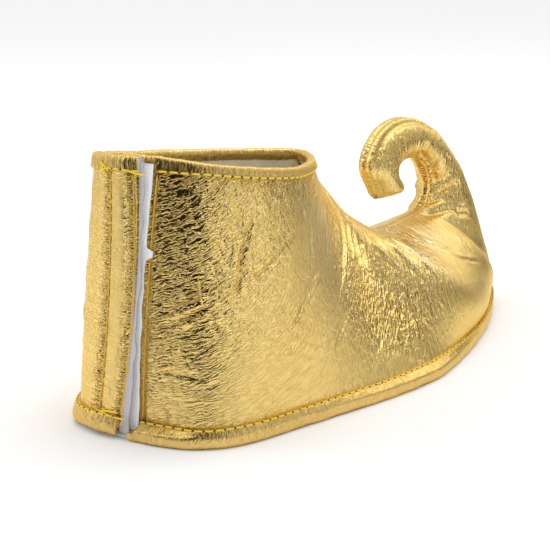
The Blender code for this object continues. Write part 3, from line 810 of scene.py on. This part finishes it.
def add_piece(name, points, faces, looks, replaced):
    """One piece of the looks, riding on the row's body."""
    made = add_object(name, (points + SHIFT) * MM, faces, looks)
    made.data.shade_smooth()
    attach(made, "root")
    if replaced:
        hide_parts(replaced)
    return made


def mark(piece, name, values, kind="FLOAT"):
    """A value at each vertex that the materials read."""
    made = piece.data.attributes.new(name, kind, "POINT")
    field = "vector" if kind == "FLOAT_VECTOR" else "value"
    made.data.foreach_set(field, np.ascontiguousarray(values, np.float32).ravel())


def add_loft(name, rings, looks, replaced):
    """A closed piece through rings of points, capped at both ends."""
    count, size = rings.shape[:2]
    faces = grid_faces(count, size, around=True)
    faces += [list(range(size))[::-1], list(range((count - 1) * size, count * size))]
    return add_piece(name, rings, faces, looks, replaced)


def rounded(ring, per_side):
    """A closed ring of points made round and finer."""
    before, after, after_next = [np.roll(ring, k, 0) for k in (1, -1, -2)]
    square = 2 * before - 5 * ring + 4 * after - after_next
    cube = 3 * ring - before - 3 * after + after_next
    shares = np.arange(per_side) / per_side
    finer = [0.5 * (2 * ring + (after - before) * t + square * t * t + cube * t ** 3) for t in shares]
    return np.stack(finer, 1).reshape(-1, 3)


def make_panels(looks):
    """Both foil panels with their lining, and the plain form of the upper that the bindings lie on."""
    points, faces = [], []
    for side, name in ((1, "panel_right"), (-1, "panel_left")):
        base, shaped, fold, crinkle = panel(side)
        quads = grid_faces(*base.shape[:2], flip=side < 0)
        piece = add_piece(name, shaped, quads, [looks["foil"], looks["lining"]], "upper")
        mark(piece, "grain", fold, "FLOAT_VECTOR")
        mark(piece, "crinkle", crinkle)
        # The crackle, and the painted highlights that make the colour paler, carried on the vertices
        for amount, even, places in (("crackle", CRACKLE_BASE, CRACKLED), ("pale", 0.0, PAINTED_HIGHLIGHTS)):
            mark(piece, amount, gathered(girth(base), base[..., 2], even, places))
        thicken = piece.modifiers.new("wall", "SOLIDIFY")
        thicken.thickness = WALL * MM
        thicken.offset = -1.0
        thicken.material_offset = 1
        first = sum(len(p) for p in points)
        points.append(base.reshape(-1, 3))
        faces += [[k + first for k in quad] for quad in quads]
    return BVHTree.FromPolygons(np.vstack(points).tolist(), faces)


def hit(tree, start, direction):
    """Where a ray from a point meets the upper, kept off the line of the seam."""
    start = start + (SEAM_MISS if abs(start[0]) < SEAM_MISS else 0.0, 0.0, 0.0)
    found = tree.ray_cast(Vector(start), Vector(direction))[0]
    return np.array(found)


def sole_binding_ring(tree, side, share):
    """Section of the sole binding, the top of its face and its outward direction."""
    top, lift, flat = SOLE_BINDING_TOP, 0.0, 1.0
    run = share * FOOT_RUN
    if side > 0:
        past, fade = 1.4, 0.8
        top -= SOLE_TAIL_DROP * smooth((TAPE_EDGE[0] + past - run) / fade)
    else:
        flatter, end, fade = 0.4, 10.0, 8.0
        flat -= flatter * smooth((end - run) / fade)
        lift = FLAP_LIFT * lap_offset(share / VAMP_START * HEEL_SPANS, side) / FLAP_OFFSET
    mirror = (side, 1)
    foot = np.array([*pick(FOOT, share) * mirror, 0.0])
    outside = np.array([*unit(rows_at(share, FOOT_SHARE, FOOT_NORMALS) * mirror), 0.0])

    def wall_at(z):
        found = hit(tree, foot + outside * RAY_REACH + (0, 0, z), -outside)
        return float((found - foot) @ outside)

    rise = np.linspace(FOOT_Z + CLEAR, top, len(WALL_ROLL) + 1) + lift
    walls = np.array([wall_at(z) for z in rise])
    sole_edge = max(walls[0], 0.0)
    walls[1] = max(walls[1], sole_edge)
    walls[2] = max(walls[2], (sole_edge + walls[3]) / 2)
    inner_edge = sole_edge + BINDING_THICKNESS + BINDING_GAP
    wall_rows = zip(walls[:0:-1], rise[:0:-1], WALL_ROLL)
    profile = [(wall + BINDING_GAP + thick * flat, z) for wall, z, thick in wall_rows]
    profile += [(sole_edge + out * (1 + flat) / 2, z + lift) for out, z in SOLE_ROLL]
    low, high = SOLE_ROLL[-1][1] + lift, FOOT_Z + lift
    profile += [(inner_edge, low), (inner_edge, high), (walls[0], high)]
    profile += list(zip(walls[1:], rise[1:]))
    ring = np.array([foot + outside * d + (0, 0, z) for d, z in profile])
    return ring, ring[0], outside


def collar_binding_ring(tree, side, share):
    """Section of the collar binding, the line of its stitches and their direction: two legs and a crown."""
    u = collar_u(share)
    mirror = np.array([(side or 1.0) * (1.0 if share >= 0 else -1.0), 1.0, 1.0])
    around = collar((abs(share) + np.array([-COLLAR_STEP, COLLAR_STEP])).clip(0, 1))
    tangent = around[1] - around[0] if side else np.array([-1.0, 0.0, 0.0])
    normal = unit(np.array([tangent[1], -tangent[0], 0.0]))
    heel_normal = outward(np.array([abs(u)]))[0]
    turned = smooth((abs(u) - LAP_SPANS) / LAP_SPANS)
    normal = unit(heel_normal + (normal - heel_normal) * turned) * mirror
    away = lap_offset(u, side) if side else 0.0
    edge = (collar(abs(share)) + heel_normal * away) * mirror
    in_lap = abs(u) < LAP_SPANS and (side < 0 or share <= collar_share(TAPE_EDGE[1] / SPAN_RUN))
    leg = COLLAR_LEG
    if side < 0:
        leg += (COLLAR_FLAP_LEG - COLLAR_LEG) * smooth(FLAP_LEG_SPANS - abs(u))
    elif in_lap:
        leg = COLLAR_SHORT_LEG
    else:
        leg += COLLAR_SLIT_LEG * smooth((SLIT_LEG_SPANS - abs(u)) / SLIT_LEG_FADE)
    reach = LAP_REACH if in_lap else RAY_REACH
    up = np.array([0.0, 0.0, 1.0])

    def leg_points(sense, length):
        first, past, samples = 0.4, 1.0, 7
        drops = np.linspace(first, past + length, samples)
        start = edge + normal * reach * sense
        line = np.array([hit(tree, start - up * drop, -normal * sense) for drop in drops])
        return rows_at(np.array([0.0, length / 2, length]), lengths(line), line)

    def leg_face(line, sense):
        along = line[0] - line[2]
        return unit(normal * (along @ up) - up * (along @ normal)) * sense

    outer = leg_points(1.0, leg)
    inner = leg_points(-1.0, COLLAR_INNER_LEG) - normal * WALL
    out = leg_face(outer, 1.0)
    outer_face = outer + out * OUTER_ROLL[:, None]
    inner_face = inner + leg_face(inner, -1.0) * INNER_ROLL[:, None]
    crown = (outer[0] + inner[0]) / 2
    crown[2] = edge[2]
    top = crown + up * COLLAR_ROLL
    ring = np.array([*outer_face[::-1], top + normal * CROWN_HALF, top - normal * CROWN_HALF, *inner_face,
                     inner[2], inner[1], crown + up * CROWN_CLEAR, outer[1], outer[2]])
    return ring, ring[0] * (1 - COLLAR_STITCH) + ring[1] * COLLAR_STITCH, out


def pucker(rings, run):
    """Rings of a binding drawn in by its stitches and creased across."""
    away = unit(rings - rings.mean(axis=1, keepdims=True))
    run, z = run[:, None], rings[..., 2]
    slanted = run + BINDING_SLANT * z
    lift = BINDING_STITCHES * np.sin(2 * np.pi * slanted / STITCH_PITCH)
    for place, (height, length, width, seed) in ((slanted, BINDING_CREASES), (run, BINDING_WAVES)):
        lift += height * draw_noise(place / length, z / width, seed)
    return rings + away * lift[..., None]


def make_binding(name, section, tree, route, looks, replaced):
    """A binding through the sections of its route, and the line and directions of its stitches."""
    rings, line, away = [np.array(rows) for rows in zip(*[section(tree, *place) for place in route])]
    run = lengths(line)
    shaped = pucker(np.array([rounded(ring, RING_POINTS) for ring in rings]), run)
    piece = add_loft(name, shaped, [looks["binding"], looks["felt"]], replaced)
    for cut_end in (-1, -2):
        piece.data.polygons[cut_end].material_index = 1 if replaced == "collar_binding" else 0
        piece.data.polygons[cut_end].use_smooth = False
    round_ring = np.linspace(0, BINDING_GRAIN, shaped.shape[1])
    fold = np.stack(np.broadcast_arrays(round_ring, run[:, None], 0.0), -1)
    mark(piece, "grain", fold, "FLOAT_VECTOR")
    for amount, value in BINDING_FOIL:
        mark(piece, amount, np.full(shaped.shape[:2], value))
    return line, away


def make_sole_binding(tree, looks):
    """The strip that covers the edge of upper and sole, open at the back slit."""
    count = int(FOOT_RUN / BINDING_STEP)
    right = np.linspace(SOLE_TAIL / FOOT_RUN, 1.0, count)
    left = np.linspace(1.0, (CLEAR - GOLD_EDGE[0]) / FOOT_RUN, count)[1:]
    route = [(1, s) for s in right] + [(-1, s) for s in left]
    return make_binding("sole_binding_roll", sole_binding_ring, tree, route, looks, "sole_binding")


def make_collar_binding(tree, looks):
    """The strip folded over the collar edge, cut at the back slit."""
    ends = (UNDERLAP_EDGE[1] + UNDERLAP_BINDING, FLAP_BINDING - GOLD_EDGE[1], TAPE_EDGE[1])
    hidden_end, flap_end, tape_end = [float(collar_share(d / SPAN_RUN)) for d in ends]
    right = np.linspace(hidden_end, FRONT_RING, COLLAR_SECTIONS)
    left = np.linspace(FRONT_RING, flap_end, COLLAR_SECTIONS)
    route = [(1, s) for s in right] + [(0, 1.0)] + [(-1, s) for s in left]
    name, replaced = "collar_binding_roll", "collar_binding"
    line, away = make_binding(name, collar_binding_ring, tree, route, looks, replaced)
    shown = int(np.argmax(right > tape_end)) + 1
    return line[shown:], away[shown:]


def make_strip(row, looks):
    """A tape or felt strip of the closure, which follows the back of the upper, with a soft uneven edge."""
    name, right_edge, left_edge, offset, thickness, heights, look, replaced, wave = row
    rows, columns, squareness, least = 90, 14, 8, 0.05
    waves, seed, seed_step = 14.0, 2.2, 7.0
    round_edge = 1 - np.linspace(-1, 1, columns) ** squareness
    soft = thickness * np.sqrt(np.clip(round_edge, least, 1))
    rings = []
    for v in np.linspace(*heights, rows):
        right, left = [across(edge, v) + shift for edge, shift in (right_edge, left_edge)]
        right += wave * noise.noise((v * waves, seed, seed_step * thickness))
        if replaced == "loop_tape":
            right += SCRAP_REACH * (abs(v - SCRAP_HEIGHT) < SCRAP_HALF)
        u = np.linspace(right, left, columns) / SPAN_RUN
        normal = plan_direction(u)
        outer = skin(u, np.full(columns, v)) + normal * offset
        outer[:, 2] += FLAP_LIFT * max(offset, 0) / FLAP_OFFSET * (1 - v)
        rings.append(np.vstack([outer - normal * soft[:, None], outer[::-1]]))
    return add_loft(name, np.array(rings), [looks[look]], replaced)


def make_sole(look):
    """The flat fabric sole with soft edges."""
    line = pick(outline(FOOT_INSET - BINDING_THICKNESS), np.linspace(0, 1, SOLE_POINTS))
    ring = np.vstack([line, (line * (-1, 1))[-2:0:-1]])
    inwards = unit((0.0, BALL_STATION) - ring)
    rings = [np.column_stack([ring + inwards * inset, np.full(len(ring), z)]) for z, inset in SOLE_EDGE]
    return add_loft("sole_sheet", np.array(rings), [look], "sole")


def tubes(paths, radius):
    """Points and faces of many thin closed tubes along paths with the same number of points."""
    steep = 0.9
    count, size = paths.shape[:2]
    tangent = unit(np.gradient(paths, axis=1))
    upright = np.abs(tangent[..., 2:]) > steep
    first = unit(np.cross(tangent, np.where(upright, (1.0, 0.0, 0.0), (0.0, 0.0, 1.0))))
    second = np.cross(tangent, first)
    angle = np.linspace(0, 2 * np.pi, THREAD_SIDES, endpoint=False)[:, None]
    ring = first[..., None, :] * np.cos(angle) + second[..., None, :] * np.sin(angle)
    thick = np.full(size, radius)
    thick[[0, -1]] *= THREAD_TIP
    points = paths[..., None, :] + ring * thick[:, None, None]
    quads = np.array(grid_faces(size, THREAD_SIDES, around=True))
    starts = np.arange(count) * size * THREAD_SIDES
    faces = (quads[None] + starts[:, None, None]).reshape(-1, 4).tolist()
    cap = np.arange(THREAD_SIDES)
    for start in starts:
        faces.append((start + cap[::-1]).tolist())
        faces.append((start + (size - 1) * THREAD_SIDES + cap).tolist())
    return points.reshape(-1, 3), faces


def stitch_paths(line, away, first, length, lift):
    """Small arched paths along a line, one for each stitch or hole."""
    run = lengths(line)
    t = np.linspace(-0.5, 0.5, PATH_POINTS)
    at = np.arange(first, run[-1], STITCH_PITCH)[:, None] + t * length
    arch = lift * (1 - (2 * t) ** 4) - STITCH_SINK
    return rows_at(at, run, line) + unit(rows_at(at, run, away)) * arch[None, :, None]


def on_face(q, v, side, lift):
    """Points and directions on the back of a panel, q right of the middle plane."""
    u = q / SPAN_RUN * side
    normal = plan_direction(u) * (side, 1, 1)
    return lapped(u, v, side) + normal * lift, normal


def face_line(edge, side, lift):
    """Points and directions of a sewn line on the back of a panel."""
    v = np.linspace(*FACE_LINE)
    return on_face(across(edge, v), v, side, lift)


def thread_ends():
    """Loose ends of thread lying on the flap."""
    t = np.linspace(0, 1, PATH_POINTS)
    paths = []
    for q_start, v_start, q_end, v_end, sag in THREAD_ENDS:
        v = v_start + (v_end - v_start) * t - sag * arc(t)
        paths.append(on_face(q_start + (q_end - q_start) * t, v, -1, THREAD_END_LIFT)[0])
    return np.array(paths)


def make_stitching(sole_line, collar_line, looks):
    """All stitches, and dark marks of painted shade in the holes between them: both bindings, the flap and
    beside the loop tape.
    """
    bindings = (sole_line, collar_line)
    faces = [face_line(edge, -1, FLAP_THREAD) for edge in FLAP_SEAMS]
    faces.append(face_line(TAPE_SEAM, 1, TAPE_THREAD))
    for name, look, first, length, lift in STITCHES:
        lines = faces if name == "face_stitching" else bindings
        paths = [stitch_paths(*line, first, length, lift) for line in lines]
        if name == "stitching":
            paths.append(thread_ends())
        points, quads = tubes(np.concatenate(paths), THREAD)
        add_piece(name, points, quads, [looks[look]], None)


def set_inputs(node, inputs):
    """Inputs of a shader node, each set to a value or linked to another node."""
    for name, value in inputs.items():
        if isinstance(value, bpy.types.NodeSocket):
            node.id_data.links.new(value, node.inputs[name])
        else:
            node.inputs[name].default_value = value


def add_node(tree, kind, inputs, **settings):
    """A shader node with its settings and inputs."""
    made = tree.nodes.new(kind)
    for name, value in settings.items():
        setattr(made, name, value)
    set_inputs(made, inputs)
    return made


def new_material(name, colour, roughness, metallic):
    """A plain Principled material, and its tree and shader."""
    made = bpy.data.materials.new(name)
    made.use_nodes = True
    made.diffuse_color = (*colour, 1.0)
    shader = made.node_tree.nodes["Principled BSDF"]
    set_inputs(shader, {"Base Color": (*colour, 1.0), "Roughness": roughness, "Metallic": metallic})
    return made, made.node_tree, shader


def attribute(tree, name, output="Fac"):
    """A value that the vertices carry."""
    return add_node(tree, "ShaderNodeAttribute", {}, attribute_name=name).outputs[output]


def maths(operation, *values):
    """A value reckoned from values and links."""
    tree = next(value.id_data for value in values if isinstance(value, bpy.types.NodeSocket))
    return add_node(tree, "ShaderNodeMath", dict(enumerate(values)), operation=operation).outputs[0]


def stretched(source, size, offset=(0.0, 0.0, 0.0)):
    """Coordinates divided by a size in each direction."""
    inputs = {"Vector": source, "Location": offset, "Scale": [1.0 / s for s in size]}
    return add_node(source.id_data, "ShaderNodeMapping", inputs).outputs[0]


def noise_value(vector, detail, kind=FBM):
    """A noise texture over coordinates."""
    inputs = {"Vector": vector, "Scale": 1.0, "Detail": detail}
    if kind == RIDGED:
        inputs.update(Offset=1.0, Gain=1.0)
    settings = {"noise_type": kind, "normalize": kind == FBM}
    return add_node(vector.id_data, "ShaderNodeTexNoise", inputs, **settings).outputs["Fac"]


def blend(amount, first, second):
    """A colour between two colours or links."""
    inputs = {"Factor": amount, "A": first, "B": second}
    return add_node(amount.id_data, "ShaderNodeMix", inputs, data_type="RGBA").outputs["Result"]


def bumped(height, depth):
    """A normal bent by a height."""
    inputs = {"Strength": 1.0, "Distance": depth * MM, "Height": height}
    return add_node(height.id_data, "ShaderNodeBump", inputs).outputs[0]


def thin_lines(vector, size, offset):
    """Thin wandering lines, 1 on the line and 0 away from it, broken up here and there."""
    width, break_size, break_below, break_sharp = 0.045, 11.0, 0.4, 4.0
    wander = noise_value(stretched(vector, size, offset), 1.0)
    away = maths("ABSOLUTE", maths("SUBTRACT", wander, 0.5))
    line = maths("SUBTRACT", 1.0, maths("DIVIDE", away, width))
    breaks = noise_value(stretched(vector, (break_size, break_size, NOISE_DEPTH), offset), 1.0)
    shown = maths("MULTIPLY", maths("SUBTRACT", breaks, break_below), break_sharp)
    shown = maths("MINIMUM", maths("MAXIMUM", shown, 0.0), 1.0)
    return maths("MULTIPLY", maths("MAXIMUM", line, 0.0), shown)


def make_foil(name, colour, roughness, depth):
    """Crinkled metal foil on cloth: folds along the grain, a crackle between them and a fine grain, with
    highlights painted paler into its colour.
    """
    made, tree, shader = new_material(name, colour, roughness, 1.0)
    fold = attribute(tree, "grain", "Vector")
    crinkle, crackle, pale = [attribute(tree, amount) for amount in ("crinkle", "crackle", "pale")]
    warp = add_node(tree, "ShaderNodeTexNoise", {"Vector": fold, "Scale": FOIL_WARP_SCALE, "Detail": 2.0})
    warped = {0: warp.outputs["Color"], 1: FOIL_WARP, 2: fold}
    bent = add_node(tree, "ShaderNodeVectorMath", warped, operation="MULTIPLY_ADD").outputs[0]
    height = 0.0
    for amount, size, detail, kind, sharp, weight in FOIL_LAYERS:
        place = stretched(bent, (*size, NOISE_DEPTH), (size[1], size[0], 1.0))
        layer = maths("POWER", noise_value(place, detail, kind), sharp)
        layer = maths("MULTIPLY", layer, weight)
        layer = maths("MULTIPLY", layer, crackle if amount == "crackle" else crinkle)
        height = maths("ADD", height, layer)
    for size, weight in FOIL_LINES:
        line = thin_lines(bent, (*size, NOISE_DEPTH), (size[1], size[0], 2.0))
        line = maths("MULTIPLY", maths("MULTIPLY", line, weight), crinkle)
        height = maths("SUBTRACT", height, line)
    fine = noise_value(stretched(fold, (FOIL_GRAIN, FOIL_GRAIN, NOISE_DEPTH)), 2.0)
    height = maths("ADD", height, maths("MULTIPLY", fine, FOIL_GRAIN_WEIGHT))
    patches = noise_value(stretched(fold, (*PATCH_SIZE, NOISE_DEPTH)), 3.0)
    darker = [c * share for c, share in zip(colour, PATCH_TINT)]
    tint = blend(patches, (*colour, 1.0), (*darker, 1.0))
    even = maths("SUBTRACT", SMOOTH_BELOW, maths("MAXIMUM", crinkle, crackle))
    even = maths("MULTIPLY", maths("MAXIMUM", even, 0.0), SMOOTH_ROUGHER)
    rough = maths("MULTIPLY", patches, PATCH_ROUGHER)
    rough = maths("ADD", rough, roughness - PATCH_ROUGHER / 2)
    set_inputs(shader, {
        # Painted highlight: the base colour turns paler where the vertices carry pale
        "Base Color": blend(pale, tint, (*PAINTED_HIGHLIGHTS_COLOUR, 1.0)),
        "Roughness": maths("ADD", rough, even),
        "Specular Tint": (*FOIL_GLINT, 1.0),
        "Normal": bumped(height, depth),
    })
    return made


def make_cloth(name, colour, size, depth, sheen=0.3):
    """Matt felt or woven cloth with a soft nap."""
    made, tree, shader = new_material(name, colour, 0.95, 0.0)
    cloud_size, shades = 9.0, (0.82, 1.1)
    place = add_node(tree, "ShaderNodeTexCoord", {}).outputs["Object"]
    nap = noise_value(stretched(place, (size * MM,) * 3), 4.0)
    clouds = noise_value(stretched(place, (cloud_size * MM,) * 3), 2.0)
    share = maths("MULTIPLY", maths("ADD", nap, clouds), 0.5)
    dark, light = [(*[min(c * shade, 1.0) for c in colour], 1.0) for shade in shades]
    set_inputs(shader, {
        "Base Color": blend(share, dark, light),
        "Normal": bumped(nap, depth),
        "Sheen Weight": sheen,
        "Specular IOR Level": 0.2,
    })
    return made


def make_thread(name, colour):
    """Satin sewing thread."""
    made, _, shader = new_material(name, colour, 0.45, 0.0)
    set_inputs(shader, {"Specular IOR Level": 0.4})
    return made


def make_floor():
    """A plain pale floor."""
    look, _, shader = new_material("studio_floor", (0.9, 0.9, 0.9), 0.9, 0.0)
    set_inputs(shader, {"Specular IOR Level": 0.0})
    corners = np.array([(-1, -1, 0), (1, -1, 0), (1, 1, 0), (-1, 1, 0)]) * FLOOR_REACH
    made = add_object("floor", corners, [[0, 1, 2, 3]], [look])


def make_cards():
    """Dark low cards round the shoe, out of the picture and seen only as reflections in the foil."""
    look, tree, shader = new_material("studio_card", (0.014, 0.008, 0.004), 1.0, 0.0)
    set_inputs(shader, {"Specular IOR Level": 0.0, "Alpha": attribute(tree, "shade")})
    angle = np.linspace(0, 2 * np.pi, CARD_POINTS)
    around = np.stack([np.cos(angle), np.sin(angle)], -1)
    for number, (toward, power, rows) in enumerate(CARDS):
        lobe = np.minimum(CARD_GAIN * np.clip(around @ unit(np.array(toward)), 0, 1) ** power, 1.0)
        ring = around * CARD_REACH * (1 - CARD_NEAR * lobe)[:, None]
        points = [np.column_stack([ring * reach, np.full(len(ring), z)]) for reach, z, _, _ in rows]
        shades = [behind + (amount - behind) * lobe for _, _, amount, behind in rows]
        points = np.stack(points, 1)
        card = add_object(f"card_{number}", points, grid_faces(*points.shape[:2]), [look])
        mark(card, "shade", np.stack(shades, 1))
        card.visible_camera = False
        card.visible_diffuse = False
        card.visible_shadow = False


def aimed(name, data, place, aim):
    """A light or camera at a place, pointing at another."""
    made = bpy.data.objects.new(name, data)
    made.location = place
    made.rotation_euler = (Vector(aim) - Vector(place)).to_track_quat("-Z", "Y").to_euler()
    bpy.context.scene.collection.objects.link(made)
    return made


def make_studio():
    """Floor, cards, soft lights, white surroundings and the camera at the photo's angle."""
    scene = bpy.context.scene
    scene.view_settings.view_transform = "Standard"
    scene.world = bpy.data.worlds.new("studio")
    scene.world.use_nodes = True
    background = scene.world.node_tree.nodes["Background"]
    set_inputs(background, {"Color": (1.0, 1.0, 1.0, 1.0), "Strength": 1.0})
    make_floor()
    make_cards()
    for name, place, aim, size, power in LIGHTS:
        light = bpy.data.lights.new(name, "AREA")
        light.shape = "SQUARE"
        light.size = size
        light.energy = power
        aimed(name, light, place, aim)
    data = bpy.data.cameras.new("camera")
    data.lens = LENS
    data.sensor_width = SENSOR
    scene.camera = aimed("camera", data, (EYE + SHIFT) * MM, (TARGET + SHIFT) * MM)


def main():
    """Materials, pieces and studio."""
    looks = {
        "foil": make_foil("gold_foil_look", (0.90, 0.68, 0.26), 0.15, 0.5),
        # Painted shade: the binding's gold is darker than the foil's, for the dark reflections on its rolled
        # face
        "binding": make_foil("gold_binding_look", (0.84, 0.61, 0.22), 0.2, 0.42),
        "lining": make_cloth("lining_look", (0.95, 0.84, 0.64), 0.6, 0.15),
        "felt": make_cloth("felt_look", (0.50, 0.49, 0.52), 0.5, 0.25, 0.1),
        "tape": make_cloth("tape_look", (0.88, 0.88, 0.89), 0.45, 0.25),
        "sole": make_cloth("sole_look", (0.60, 0.58, 0.55), 0.7, 0.2),
        "thread": make_thread("thread_look", (0.80, 0.58, 0.03)),
        "amber_thread": make_thread("amber_thread_look", (0.66, 0.40, 0.03)),
        # Painted shade: the dark marks in the stitch holes
        "hole": make_thread("hole_shade_look", (0.09, 0.05, 0.015)),
    }
    tree = make_panels(looks)
    sole_line = make_sole_binding(tree, looks)
    collar_line = make_collar_binding(tree, looks)
    for row in STRIPS:
        make_strip(row, looks)
    make_sole(looks["sole"])
    make_stitching(sole_line, collar_line, looks)
    make_studio()


main()
